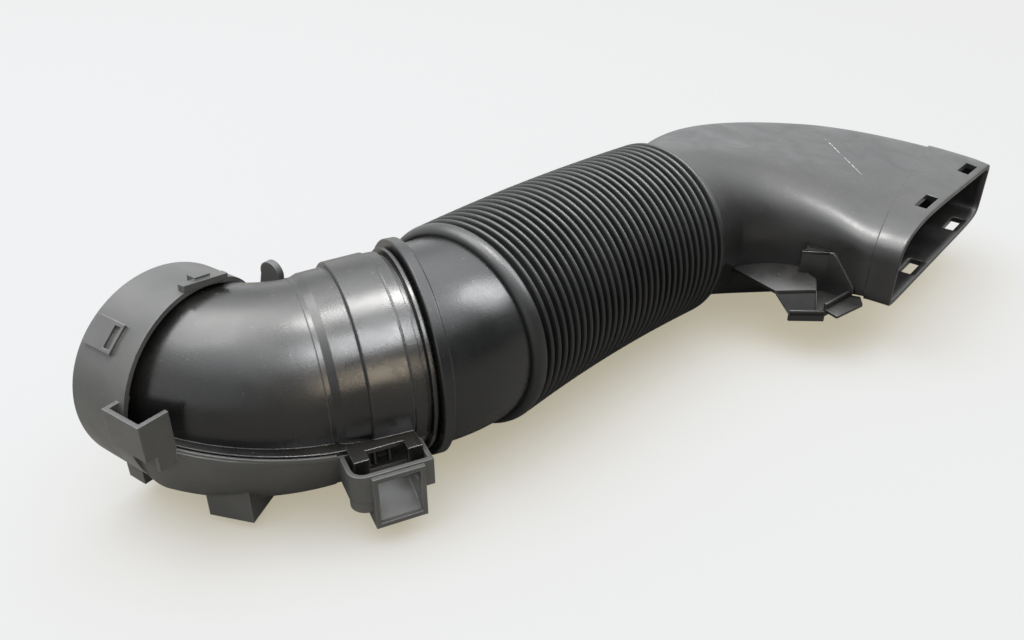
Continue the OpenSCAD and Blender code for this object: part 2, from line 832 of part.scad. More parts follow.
module bracket_web() {
    plate(concat([for (s = web_stations) near_side(s, web_top, -wall_in)],
        [on_bracket(web_step), on_bracket(web_corner), on_bracket(web_edge)]),
        web_top - bracket_t, web_top);
}
module bracket_ramp() {
    inside = [-0.7, -0.9];
    hull() {
        plate(strip(on_bracket(web_edge + inside), on_bracket(web_corner + inside), bracket_t),
            web_top - bracket_t + step, web_top - step);
        plate(strip(on_bracket(tray_corner + inside),
            on_bracket(mix(tray_corner, tray_front, ramp_share) + inside), bracket_t),
            tray_top - bracket_t + step, tray_top + step);
    }
}
module bracket_tray() {
    corner = on_bracket(tray_corner);
    front = on_bracket(tray_front);
    root = on_bracket(tray_root);
    plate(concat([for (s = hook_stations) near_side(s, web_top, wall_in / 2)], [root, front, corner]),
        tray_top - bracket_t, tray_top);
    plate(strip(corner, front, rim_t), rim_bottom, tray_top + reach);
    plate(strip(front, root, rim_t), tray_top - reach, lip_top);
    inside = [-rim_t / 2, 0];
    plate([for (q = concat([tray_root + inside], flap, [tray_front + inside])) on_bracket(q)],
        tray_top + flap_lift, tray_top + flap_lift + rim_t);
}
module bracket_hook() {
    difference() {
        plate(concat([for (s = hook_stations) near_side(s, web_top, -wall_in)],
            [for (i = [len(hook_stations) - 1 : -1 : 0])
                near_side(hook_stations[i], web_top, bracket_t)]),
            tray_top - bracket_t, hook_top);
        at_pose(ahead(mouth_pose, hook_slope_at)) rotate([0, hook_slope, 0])
            translate([0, -space, 0]) cube([space, 2 * space, space]);
    }
    rim_a = on_bracket(hook_rim[0]);
    rim_b = on_bracket(hook_rim[1]);
    plate(strip(rim_a, rim_b, rim_t), tray_top - reach, hook_top);
    plate([rim_a, rim_b, near_side(hook_shelf[1], web_top, wall_in / 2),
        near_side(hook_shelf[0], web_top, wall_in / 2)], hook_top - rim_t, hook_top);
}
module snorkel() {
    color(snorkel_colour) {
        difference() {
            snorkel_shell();
            mouth_slots();
        }
        bracket_web();
        bracket_ramp();
        bracket_tray();
        bracket_hook();
    }
}

elbow_lower_shell();
elbow_upper_shell();
elbow_seal();
connecting_tube();
bellows_hose();
snorkel();
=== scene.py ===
"""Looks of the air intake duct: moulded shells, ribbed hose and blow-moulded snorkel.

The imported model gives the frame. The elbow's shells, the seal and the connecting tube keep
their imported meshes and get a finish. The hose and the snorkel are swept again with finer,
rounder sections along the same centreline, from the same driving sizes.
"""
import math

import bmesh
import bpy
import numpy as np
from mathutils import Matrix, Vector


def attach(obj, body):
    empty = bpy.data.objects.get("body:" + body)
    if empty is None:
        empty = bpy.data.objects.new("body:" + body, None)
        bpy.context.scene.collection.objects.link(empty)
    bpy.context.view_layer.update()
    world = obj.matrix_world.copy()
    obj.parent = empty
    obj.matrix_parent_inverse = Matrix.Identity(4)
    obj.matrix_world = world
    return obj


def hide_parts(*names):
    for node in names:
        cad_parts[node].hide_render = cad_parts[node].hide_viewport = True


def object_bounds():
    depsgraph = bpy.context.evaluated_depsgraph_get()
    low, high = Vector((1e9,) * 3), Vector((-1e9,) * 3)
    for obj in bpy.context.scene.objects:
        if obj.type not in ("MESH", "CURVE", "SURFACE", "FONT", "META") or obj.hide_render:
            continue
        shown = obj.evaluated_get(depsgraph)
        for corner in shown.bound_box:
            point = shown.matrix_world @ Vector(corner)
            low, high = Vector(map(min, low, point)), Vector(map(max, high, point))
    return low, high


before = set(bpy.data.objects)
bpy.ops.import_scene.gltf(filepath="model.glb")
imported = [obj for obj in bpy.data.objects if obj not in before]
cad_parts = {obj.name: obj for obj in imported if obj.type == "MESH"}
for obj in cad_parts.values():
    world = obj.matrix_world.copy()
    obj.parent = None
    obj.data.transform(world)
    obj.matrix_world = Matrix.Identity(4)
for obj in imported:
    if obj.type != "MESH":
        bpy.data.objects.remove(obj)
cad_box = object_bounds()
MM = 0.001

# Driving sizes of the duct, in millimetres and degrees
ELBOW_TURN, ELBOW_LEAD, ELBOW_BEND_R = 60, 5, 54
NECK_LEN, NECK_GAP, TUBE_FLANGE_W = 40.5, 0.6, 4.9
TUBE_R, TUBE_TURN, TUBE_BEND_R = 42.9, 25, 46.1
GRIP_R, GRIP_LEN, CUFF_LIP = 41.4, 12, 5
CREST_R, GROOVE_DEPTH, CREST_COUNT = 47, 4, 30
BELLOWS_LEN, BELLOWS_TURN, HOSE_WALL = 137, 9, 1.2
SNORKEL_TURN, SNORKEL_BEND_R = 81, 107
SNORKEL_LEAD, SNORKEL_END, SNORKEL_WALL = 17, 8, 2
MOUTH_W, MOUTH_FLOOR, MOUTH_NEAR_H, MOUTH_FAR_H, FAR_H = 144, -20.5, 41, 33, 43

# Camera, as the photograph was taken
CAMERA_AT = (-148.25, -306.04, 201.13)
CAMERA_HEADING, CAMERA_DROP = 39.777, 30.392
CAMERA_LENS, CAMERA_SENSOR = 31.64, 36


# Centreline
def moved(pose, distance):
    """A pose [x, y, heading] moved straight on: its place plus distance times its heading."""
    x, y, heading = pose
    return x + distance * math.cos(heading), y + distance * math.sin(heading), heading


def swept_path(start, lead, radius, turn, stations):
    """Places and headings along a straight lead, an arc and a straight end.

    The heading is the start's plus the share of the arc that the station has passed. The
    place is the arc's own chord formula, plus the straight distance before or after it."""
    hand, arc = np.sign(turn), radius * abs(math.radians(turn))
    x, y, heading_0 = moved(start, lead)
    heading = heading_0 + hand * np.clip(stations - lead, 0, arc) / radius
    straight = np.minimum(stations - lead, 0) + np.maximum(stations - lead - arc, 0)
    x = x + hand * radius * (np.sin(heading) - math.sin(heading_0)) + straight * np.cos(heading)
    y = y - hand * radius * (np.cos(heading) - math.cos(heading_0)) + straight * np.sin(heading)
    return x, y, heading


def pose_on(path):
    """Last pose of a path."""
    return tuple(float(values[-1]) for values in path)


def at_end(start, lead, radius, turn, length):
    """Pose at the end of a lead and an arc of the given length in all."""
    return pose_on(swept_path(start, lead, radius, turn, np.array([float(length)])))


COLLAR_POSE = (0.0, 0.0, math.radians(-ELBOW_TURN - TUBE_TURN))
ELBOW_LEN = ELBOW_LEAD + ELBOW_BEND_R * math.radians(ELBOW_TURN)
NECK_POSE = at_end(COLLAR_POSE, ELBOW_LEAD, ELBOW_BEND_R, ELBOW_TURN, ELBOW_LEN)
TUBE_LEAD = NECK_LEN + NECK_GAP + TUBE_FLANGE_W
TUBE_LEN = TUBE_LEAD + TUBE_BEND_R * math.radians(TUBE_TURN)
CUFF_POSE = at_end(NECK_POSE, TUBE_LEAD, TUBE_BEND_R, TUBE_TURN, TUBE_LEN)
HOSE_LEN = BELLOWS_LEN + 2 * CUFF_LIP
HOSE_LEAD = GRIP_LEN + CUFF_LIP
HOSE_ARC_R = (HOSE_LEN - 2 * HOSE_LEAD) / math.radians(BELLOWS_TURN)
SNORKEL_POSE = at_end(CUFF_POSE, HOSE_LEAD, HOSE_ARC_R, -BELLOWS_TURN, HOSE_LEN)
SNORKEL_ARC = SNORKEL_BEND_R * math.radians(SNORKEL_TURN)
SNORKEL_LEN = SNORKEL_LEAD + SNORKEL_ARC + SNORKEL_END
MOUTH_POSE = at_end(SNORKEL_POSE, SNORKEL_LEAD, SNORKEL_BEND_R, -SNORKEL_TURN, SNORKEL_LEN)


def hose_path(stations):
    return swept_path(CUFF_POSE, HOSE_LEAD, HOSE_ARC_R, -BELLOWS_TURN, stations)


def snorkel_path(stations):
    return swept_path(SNORKEL_POSE, SNORKEL_LEAD, SNORKEL_BEND_R, -SNORKEL_TURN, stations)


def beside(path, out, up):
    """Points beside a path: out to the right of travel and up, as an array of x, y, z."""
    x, y, heading = (np.asarray(values)[..., None] for values in path)
    up = np.broadcast_to(up, np.broadcast(x, out).shape)
    return np.stack([x + out * np.sin(heading), y - out * np.cos(heading), up], axis=-1)


# Meshes
def new_piece(name, points, faces, smooth=True):
    """A mesh object from points in millimetres and faces, linked into the scene."""
    mesh = bpy.data.meshes.new(name)
    mesh.from_pydata((np.asarray(points) * MM).tolist(), [], faces)
    mesh.validate()
    mesh.polygons.foreach_set("use_smooth", [smooth] * len(mesh.polygons))
    piece = bpy.data.objects.new(name, mesh)
    bpy.context.scene.collection.objects.link(piece)
    return piece


def ring_faces(rows, count):
    """Quads of a closed tube of rings: ring j joins ring j + 1, and the last joins the first."""
    j = np.arange(rows)[:, None]
    i = np.arange(count)[None, :]
    k, m = (j + 1) % rows, (i + 1) % count
    quads = np.stack([j * count + i, j * count + m, k * count + m, k * count + i], axis=-1)
    return quads.reshape(-1, 4).tolist()


def turn_outwards(piece):
    """Faces the whole mesh outwards."""
    work = bmesh.new()
    work.from_mesh(piece.data)
    bmesh.ops.recalc_face_normals(work, faces=work.faces)
    work.to_mesh(piece.data)
    work.free()


def ease(t):
    """Smooth step: three t squared less two t cubed, held between 0 and 1."""
    u = np.clip(t, 0, 1)
    return u * u * (3 - 2 * u)


def mix(a, b, t):
    return a * (1 - t) + b * t


# Hose
HOSE_SIDES = 144
RINGS_PER_FOLD = 12
INNER_RINGS_PER_FOLD = 4
CREST_FLAT, GROOVE_FLAT = 0.16, 0.24
SHOULDER = 3.4
SHOULDER_EDGE = 0.4


def fold_radius(stations, crest, depth):
    """Radius of the folds: the crest's, less a raised cosine of the depth for each pitch.

    The phase is 0 at a crest and 1 at a groove. A short flat share of it stays at the crest,
    and a longer one at the groove's floor, which makes the crests look thin."""
    pitch = BELLOWS_LEN / (CREST_COUNT - 1)
    phase = np.abs(((stations - CUFF_LIP) / pitch + 0.5) % 1 - 0.5) * 2
    share = np.clip((phase - CREST_FLAT) / (1 - CREST_FLAT - GROOVE_FLAT), 0, 1)
    return crest - depth * (0.5 - 0.5 * np.cos(np.pi * share))


def hose_outer_radius(stations):
    """Folds between the first and last crest, and at each end a round shoulder.

    The shoulder is a quarter of an ellipse from the cuff's edge up to the first crest."""
    to_end = np.minimum(stations, HOSE_LEN - stations)
    t = np.clip(to_end / CUFF_LIP, 0, 1)
    edge = TUBE_R + SHOULDER_EDGE
    shoulder = edge + (CREST_R - edge) * np.sqrt(1 - (1 - t) ** 2)
    return np.where(to_end < CUFF_LIP, shoulder, fold_radius(stations, CREST_R, GROOVE_DEPTH))


def hose_inner_radius(stations):
    """A plain bore over each grip, and the folds less the wall between."""
    to_end = np.minimum(stations, HOSE_LEN - stations)
    folds = fold_radius(stations, CREST_R - HOSE_WALL, GROOVE_DEPTH)
    return mix(np.full_like(stations, GRIP_R + 0.1), folds, ease((to_end - HOSE_LEAD) / 2))


def make_hose():
    """Rings of points round the centreline, outside from end to end and back inside."""
    lip = np.linspace(0, 1, 9)[:-1] ** 2 * CUFF_LIP
    folds = np.linspace(CUFF_LIP, HOSE_LEN - CUFF_LIP, (CREST_COUNT - 1) * RINGS_PER_FOLD + 1)
    outer_s = np.concatenate([lip, folds, HOSE_LEN - lip[::-1]])
    inner_s = np.linspace(HOSE_LEN, 0, CREST_COUNT * INNER_RINGS_PER_FOLD)
    stations = np.concatenate([outer_s, inner_s])
    radii = np.concatenate([hose_outer_radius(outer_s), hose_inner_radius(inner_s)])
    angle = np.linspace(0, 2 * np.pi, HOSE_SIDES, endpoint=False)
    points = beside(hose_path(stations), radii[:, None] * np.cos(angle), radii[:, None] * np.sin(angle))
    hose = new_piece("ribbed_hose", points.reshape(-1, 3), ring_faces(len(stations), HOSE_SIDES))
    turn_outwards(hose)
    return hose


# Snorkel
SNORKEL_SIDES = 288
SNORKEL_ROWS = 150
SNORKEL_INNER_ROWS = 64
FLAT_LEN, DROP_LEN, DROP_POWER = 28, 70, 1.5
ROUND_POWER = 2
CORNER_POWER = np.array([3.2, 16, 8, 16])
NEAR_LEAN = 3
BAND_LEN, BAND_T, BAND_EDGE = 25, 0.8, 0.6
RIM_ROUND = 0.5


def roof_level(across, drop):
    """Roof's level across the mouth, from the far side at -1 to the near side at 1."""
    far = mix(FAR_H, MOUTH_FAR_H, drop)
    return MOUTH_FLOOR + mix(far, MOUTH_NEAR_H, (across + 1) / 2)


def lean(across, up):
    """How far the mouth's near side leans out: nothing at the roof, the most at the floor."""
    return NEAR_LEAN * np.maximum(across, 0) * (1 - up) / 2


def section(stations, angle, wall):
    """Section of the snorkel: a superellipse whose power goes from 2 to each corner's own.

    A direction's cosine and sine are divided by their power norm, which puts the point on the
    superellipse. The round section and the mouth's are then mixed by the share of flattening."""
    flat = ease(stations / (SNORKEL_LEN - FLAT_LEN))[:, None]
    drop = np.maximum(0, 1 - (SNORKEL_LEN - stations) / DROP_LEN)[:, None] ** DROP_POWER
    power = mix(ROUND_POWER, CORNER_POWER[(angle // (np.pi / 2)).astype(int) % 4], flat)
    cosine, sine = np.cos(angle), np.sin(angle)
    norm = (np.abs(cosine) ** power + np.abs(sine) ** power) ** (1 / power)
    across, up = cosine / norm, sine / norm
    level = roof_level(across, drop)
    middle, half = (level + MOUTH_FLOOR) / 2, (level - MOUTH_FLOOR) / 2
    wall = np.reshape(wall, (-1, 1))
    out = mix((GRIP_R - wall) * across, (MOUTH_W / 2 - wall) * across + lean(across, up), flat)
    height = mix((GRIP_R - wall) * up, middle + (half - wall) * up, flat)
    return out, height


def make_snorkel():
    """Rings of the section along the centreline, outside to the mouth and back inside.

    Past the band's edge the outside stands proud by the band's thickness, and the last
    rings turn the mouth's rim over a small round."""
    start = -(GRIP_LEN + SHOULDER)
    band_from = SNORKEL_LEN - BAND_LEN
    outer_s = np.linspace(start, SNORKEL_LEN - RIM_ROUND, SNORKEL_ROWS)
    outer_s = np.sort(np.concatenate([outer_s, band_from + np.linspace(-0.1, 1.1, 7) * BAND_EDGE]))
    proud = -BAND_T * ease((outer_s - band_from) / BAND_EDGE)
    turn = np.linspace(0, np.pi, 7)[1:-1]
    rim_s = SNORKEL_LEN - RIM_ROUND + RIM_ROUND * np.sin(turn)
    rim_wall = mix(-BAND_T, SNORKEL_WALL, (1 - np.cos(turn)) / 2)
    inner_s = np.linspace(SNORKEL_LEN - RIM_ROUND, start, SNORKEL_INNER_ROWS)
    stations = np.concatenate([outer_s, rim_s, inner_s])
    wall = np.concatenate([proud, rim_wall, np.full(len(inner_s), float(SNORKEL_WALL))])
    angle = np.linspace(0, 2 * np.pi, SNORKEL_SIDES, endpoint=False)
    out, up = section(stations, angle, wall)
    points = beside(snorkel_path(stations), out, up)
    shell = new_piece("snorkel_shell", points.reshape(-1, 3), ring_faces(len(stations), SNORKEL_SIDES))
    turn_outwards(shell)
    return shell


SLOT_ACROSS = (-25.5, 46)
SLOT_SIZE = (6, 19)
SLOT_BACK = 6.4
SLOT_REACH = 60


def on_mouth(along, out):
    """Plan point from the mouth's pose: along its heading, and out to the right of travel."""
    x, y, heading = MOUTH_POSE
    return (x + along * math.cos(heading) + out * math.sin(heading),
            y + along * math.sin(heading) - out * math.cos(heading))


def prism(outline, low, high):
    """Points and faces of an upright prism over a plan outline given anticlockwise."""
    n = len(outline)
    points = [(x, y, z) for z in (low, high) for x, y in outline]
    sides = [(i, (i + 1) % n, n + (i + 1) % n, n + i) for i in range(n)]
    return points, [tuple(range(n - 1, -1, -1)), tuple(range(n, 2 * n))] + sides


def apply_modifiers(piece):
    """Makes the piece's modifiers part of its mesh."""
    graph = bpy.context.evaluated_depsgraph_get()
    graph.update()
    mesh = bpy.data.meshes.new_from_object(piece.evaluated_get(graph))
    piece.modifiers.clear()
    piece.data = mesh


def cut_slots(shell):
    """Cuts the clip slots through the roof and the floor behind the mouth's rim."""
    half_along, half_out = SLOT_SIZE[0] / 2, SLOT_SIZE[1] / 2
    points, faces = [], []
    for place in SLOT_ACROSS:
        corners = [(-half_along, -half_out), (half_along, -half_out),
                   (half_along, half_out), (-half_along, half_out)]
        outline = [on_mouth(-SLOT_BACK + a, -place + o) for a, o in corners]
        box_points, box_faces = prism(outline[::-1], -SLOT_REACH, SLOT_REACH)
        faces += [tuple(len(points) + i for i in face) for face in box_faces]
        points += box_points
    cutter = new_piece("slot_cutter", points, faces, smooth=False)
    turn_outwards(cutter)
    cut = shell.modifiers.new("slots", "BOOLEAN")
    cut.operation, cut.solver, cut.object = "DIFFERENCE", "EXACT", cutter
    apply_modifiers(shell)
    bpy.data.objects.remove(cutter)


# Bracket on the inside of the snorkel's bend. Its plan points are [along from the mouth's
# pose, out from the mouth's near side]
SHEET = 2
RIM = 1.6
WEB_TOP, TRAY_TOP, HOOK_TOP, LIP_TOP, RIM_BOTTOM = -12, -22, 0, -17, -27
WEB_EDGE, WEB_CORNER, WEB_STEP = (-45.5, 37), (-30, 23), (-35, 12)
TRAY_CORNER, TRAY_FRONT, TRAY_ROOT = (-37, 36), (-23, 25), (-18.8, 2.5)
RAMP_SHARE = 0.75
FLAP = ((-15, 1), (-11, 8), (-16, 28))
FLAP_LIFT = 0.4
HOOK_RIM = ((-45, 11), (-32, 2.5))
HOOK_SLOPE, HOOK_SLOPE_AT = 49, -31
WEB_STATIONS = np.arange(14.0, 71.0, 4.0)
HOOK_STATIONS = np.arange(74.0, 135.0, 5.0)
HOOK_SHELF = np.array([76.0, 84.0, 92.0, 100.0])
EDGE_ROUND = 0.35


def bracket_point(q):
    return on_mouth(q[0], MOUTH_W / 2 + q[1])


def near_side(stations, level, out):
    """Plan points on the snorkel's near side at a level, moved out from it.

    The superellipse of the section is solved for its half width at that level."""
    flat = ease(stations / (SNORKEL_LEN - FLAT_LEN))
    power = mix(ROUND_POWER, CORNER_POWER[3], flat)
    depth = mix(GRIP_R, MOUTH_NEAR_H / 2, flat)
    middle = flat * (MOUTH_FLOOR + MOUTH_NEAR_H / 2)
    up = (level - middle) / depth
    across = (1 - np.abs(up) ** power) ** (1 / power)
    width = mix(GRIP_R * across, MOUTH_W / 2 * across + lean(across, up), flat)
    x, y, heading = snorkel_path(stations)
    return list(zip(x + (width + out) * np.sin(heading), y - (width + out) * np.cos(heading)))


def strip(a, b, width):
    """Corners of a straight strip from a to b, with its width to the left."""
    run = math.dist(a, b)
    side = (-(b[1] - a[1]) / run * width, (b[0] - a[0]) / run * width)
    return [a, b, (b[0] + side[0], b[1] + side[1]), (a[0] + side[0], a[1] + side[1])]


def between(a, b, share):
    return tuple(mix(p, q, share) for p, q in zip(a, b))


def signed_area(outline):
    points = np.array(outline)
    following = np.roll(points, -1, axis=0)
    return float(np.sum(points[:, 0] * following[:, 1] - points[:, 1] * following[:, 0]) / 2)


def soften(piece, width=EDGE_ROUND, segments=3):
    """Rounds the piece's hard edges and makes the rounding part of its mesh."""
    bevel = piece.modifiers.new("round", "BEVEL")
    bevel.width, bevel.segments = width * MM, segments
    bevel.limit_method, bevel.angle_limit = "ANGLE", math.radians(30)
    bevel.harden_normals = False
    apply_modifiers(piece)
    piece.data.shade_smooth()
    return piece


def sheet_piece(name, outline, low, high):
    """An upright prism over a plan outline, with softened edges."""
    outline = outline if signed_area(outline) > 0 else outline[::-1]
    piece = new_piece(name, *prism(outline, low, high), smooth=False)
    return soften(piece)


def ramp_piece():
    """The sheet that falls from the web's edge to the tray: two strips joined corner to corner."""
    upper = strip(bracket_point(WEB_EDGE), bracket_point(WEB_CORNER), SHEET)
    lower = strip(bracket_point(TRAY_CORNER),
                  bracket_point(between(TRAY_CORNER, TRAY_FRONT, RAMP_SHARE)), SHEET)
    points = [(x, y, z) for z in (WEB_TOP - SHEET, WEB_TOP) for x, y in upper]
    points += [(x, y, z) for z in (TRAY_TOP - SHEET, TRAY_TOP) for x, y in lower]
    # Corners 0 to 3 are the upper strip's underside, 4 to 7 its top, then the lower strip's
    outer = [(0, 1, 9, 8), (4, 0, 8, 12), (7, 4, 12, 15), (1, 5, 13, 9), (5, 6, 14, 13), (6, 7, 15, 14)]
    faces = outer + [(4, 5, 6, 7), (8, 9, 10, 11)]
    return points, faces


def hook_ramp(high):
    """Height of the hook plate's sloped end at plan points: it falls past a place on the mouth's axis."""
    slope = math.tan(math.radians(HOOK_SLOPE))
    x, y, heading = MOUTH_POSE
    return lambda px, py: min(high, -((px - x) * math.cos(heading) + (py - y) * math.sin(heading)
                                      - HOOK_SLOPE_AT) * slope)


def hook_plate():
    """The upright plate along the snorkel's side: two walls of points up to a sloped top."""
    inner = near_side(HOOK_STATIONS, WEB_TOP, -SNORKEL_WALL / 2)
    outer = near_side(HOOK_STATIONS, WEB_TOP, SHEET)
    height = hook_ramp(HOOK_TOP)
    points, faces, n = [], [], len(inner)
    for row in (inner, outer):
        for px, py in row:
            points.append((px, py, TRAY_TOP - SHEET))
            points.append((px, py, max(height(px, py), TRAY_TOP - SHEET / 2)))
    for i in range(n - 1):
        a, b = 2 * i, 2 * n + 2 * i
        faces += [(a, a + 2, a + 3, a + 1), (b, b + 1, b + 3, b + 2),
                  (a + 1, a + 3, b + 3, b + 1), (a, b, b + 2, a + 2)]
    last = 2 * (n - 1)
    faces += [(0, 1, 2 * n + 1, 2 * n), (last, 2 * n + last, 2 * n + last + 1, last + 1)]
    return points, faces


def make_bracket():
    """All the bracket's sheets, as pieces of the snorkel's moulding."""
    corner, front, root = (bracket_point(q) for q in (TRAY_CORNER, TRAY_FRONT, TRAY_ROOT))
    pieces = [sheet_piece("bracket_web", near_side(WEB_STATIONS, WEB_TOP, -SNORKEL_WALL / 2)
                          + [bracket_point(q) for q in (WEB_STEP, WEB_CORNER, WEB_EDGE)],
                          WEB_TOP - SHEET, WEB_TOP)]
    pieces.append(sheet_piece("bracket_tray", near_side(HOOK_STATIONS, WEB_TOP, 0.5)
                              + [root, front, corner], TRAY_TOP - SHEET, TRAY_TOP))
    pieces.append(sheet_piece("bracket_rim", strip(corner, front, RIM), RIM_BOTTOM, TRAY_TOP + 1))
    pieces.append(sheet_piece("bracket_lip", strip(front, root, RIM), TRAY_TOP - 1, LIP_TOP))
    flap = [(TRAY_ROOT[0] - RIM / 2, TRAY_ROOT[1]), *FLAP, (TRAY_FRONT[0] - RIM / 2, TRAY_FRONT[1])]
    pieces.append(sheet_piece("bracket_flap", [bracket_point(q) for q in flap],
                              TRAY_TOP + FLAP_LIFT, TRAY_TOP + FLAP_LIFT + RIM))
    rim_a, rim_b = (bracket_point(q) for q in HOOK_RIM)
    pieces.append(sheet_piece("bracket_hook_rim", strip(rim_a, rim_b, RIM), TRAY_TOP - 1, HOOK_TOP))
    pieces.append(sheet_piece("bracket_hook_shelf", [rim_a, rim_b]
                              + near_side(HOOK_SHELF, WEB_TOP, 0.5)[::-1], HOOK_TOP - RIM, HOOK_TOP))
    for name, shape in (("bracket_ramp", ramp_piece()), ("bracket_hook", hook_plate())):
        piece = new_piece(name, *shape, smooth=False)
        turn_outwards(piece)
        pieces.append(soften(piece))
    return pieces


# Finishes
# Ends of the scratch across the snorkel's roof
SCRATCH = ((363, -120.5, 0), (328, -157, 0))


def new_group(name, inputs, outputs):
    """An empty shader group with sockets given as name: (type, default)."""
    group = bpy.data.node_groups.new(name, "ShaderNodeTree")
    for direction, sockets in (("INPUT", inputs), ("OUTPUT", outputs)):
        for socket_name, (kind, value) in sockets.items():
            socket = group.interface.new_socket(socket_name, in_out=direction, socket_type=kind)
            if value is not None:
                socket.default_value = value
    return group, group.nodes.new("NodeGroupInput"), group.nodes.new("NodeGroupOutput")


class Wiring:
    """Short calls that add nodes to a tree and link them."""

    def __init__(self, tree):
        self.tree = tree

    def set(self, socket, value):
        if isinstance(value, bpy.types.NodeSocket):
            self.tree.links.new(value, socket)
        else:
            socket.default_value = value

    def add(self, kind, settings=None, **inputs):
        node = self.tree.nodes.new(kind)
        for name, value in (settings or {}).items():
            setattr(node, name, value)
        for name, value in inputs.items():
            self.set(node.inputs[name.replace("_", " ")], value)
        return node

    def math(self, operation, a, b=0.0, clamp=False):
        node = self.add("ShaderNodeMath", {"operation": operation, "use_clamp": clamp})
        self.set(node.inputs[0], a)
        self.set(node.inputs[1], b)
        return node.outputs[0]

    def vector(self, operation, a, b, output="Vector"):
        node = self.add("ShaderNodeVectorMath", {"operation": operation})
        self.set(node.inputs[0], a)
        self.set(node.inputs[1], b)
        return node.outputs[output]

    def noise(self, scale, detail=4.0, roughness=0.55, distortion=0.0):
        where = self.add("ShaderNodeTexCoord").outputs["Object"]
        return self.add("ShaderNodeTexNoise", Vector=where, Scale=scale, Detail=detail,
                        Roughness=roughness, Distortion=distortion).outputs["Fac"]

    def remap(self, value, low, high, to_low=0.0, to_high=1.0):
        node = self.add("ShaderNodeMapRange", {"interpolation_type": "SMOOTHSTEP"}, Value=value)
        for name, number in zip(("From Min", "From Max", "To Min", "To Max"), (low, high, to_low, to_high)):
            self.set(node.inputs[name], number)
        return node.outputs["Result"]

    def blend(self, factor, a, b):
        node = self.add("ShaderNodeMix", {"data_type": "RGBA"})
        self.set(node.inputs[0], factor)
        self.set(node.inputs[6], a)
        self.set(node.inputs[7], b)
        return node.outputs[2]


FLOAT, COLOUR, VECTOR = "NodeSocketFloat", "NodeSocketColor", "NodeSocketVector"


def edge_wear_group():
    """Rounded edges and a mask of their wear.

    A bevelled normal is set against the surface's own: where they part, an edge is near.
    Noise breaks the mask up."""
    group, source, result = new_group(
        "edge_wear", {"Width": (FLOAT, 0.0006), "Amount": (FLOAT, 1.0), "Breaks": (FLOAT, 0.5)},
        {"Mask": (FLOAT, None), "Normal": (VECTOR, None)})
    w = Wiring(group)
    bevel = w.add("ShaderNodeBevel", {"samples": 6}, Radius=source.outputs["Width"])
    own = w.add("ShaderNodeNewGeometry").outputs["Normal"]
    dot = w.add("ShaderNodeVectorMath", {"operation": "DOT_PRODUCT"})
    w.set(dot.inputs[0], bevel.outputs["Normal"])
    w.set(dot.inputs[1], own)
    near = w.remap(dot.outputs["Value"], 0.985, 0.86)
    broken = w.remap(w.noise(260.0), 0.36, 0.62)
    kept = w.math("SUBTRACT", 1.0, w.math("MULTIPLY", source.outputs["Breaks"],
                                          w.math("SUBTRACT", 1.0, broken)))
    mask = w.math("MULTIPLY", w.math("MULTIPLY", near, kept), source.outputs["Amount"], clamp=True)
    w.set(result.inputs["Mask"], mask)
    w.set(result.inputs["Normal"], bevel.outputs["Normal"])
    return group


def dust_group():
    """Dust that settles where the surface faces up, thicker in cloudy patches with specks."""
    group, source, result = new_group(
        "settled_dust", {"Amount": (FLOAT, 0.4), "Patch Scale": (FLOAT, 18.0)},
        {"Mask": (FLOAT, None), "Specks": (FLOAT, None)})
    w = Wiring(group)
    normal = w.add("ShaderNodeNewGeometry").outputs["Normal"]
    up = w.add("ShaderNodeSeparateXYZ", Vector=normal).outputs["Z"]
    facing = w.remap(up, 0.1, 0.95)
    where = w.add("ShaderNodeTexCoord").outputs["Object"]
    patches = w.add("ShaderNodeTexNoise", Vector=where, Scale=source.outputs["Patch Scale"],
                    Detail=6.0, Roughness=0.62, Distortion=0.4).outputs["Fac"]
    cloud = w.remap(patches, 0.32, 0.72)
    fine = w.remap(w.noise(1400.0, 2.0, 0.6), 0.42, 0.66)
    grain = w.math("MULTIPLY_ADD", fine, 0.6)
    grain.node.inputs[2].default_value = 0.4
    mask = w.math("MULTIPLY", w.math("MULTIPLY", facing, cloud), grain)
    specks = w.remap(w.noise(520.0, 1.0, 0.5), 0.71, 0.76)
    w.set(result.inputs["Mask"], w.math("MULTIPLY", mask, source.outputs["Amount"], clamp=True))
    w.set(result.inputs["Specks"], w.math("MULTIPLY", specks, w.math("MULTIPLY", facing, 0.5)))
    return group


def grain_group():
    """Height of a moulded skin: fine grain over a slow waviness from the mould."""
    group, source, result = new_group(
        "moulded_skin", {"Grain": (FLOAT, 0.25), "Wave": (FLOAT, 1.0)}, {"Height": (FLOAT, None)})
    w = Wiring(group)
    fine = w.math("MULTIPLY", w.noise(1900.0, 2.0, 0.5), source.outputs["Grain"])
    slow = w.math("MULTIPLY", w.noise(34.0, 2.0, 0.45), source.outputs["Wave"])
    w.set(result.inputs["Height"], w.math("ADD", fine, slow))
    return group


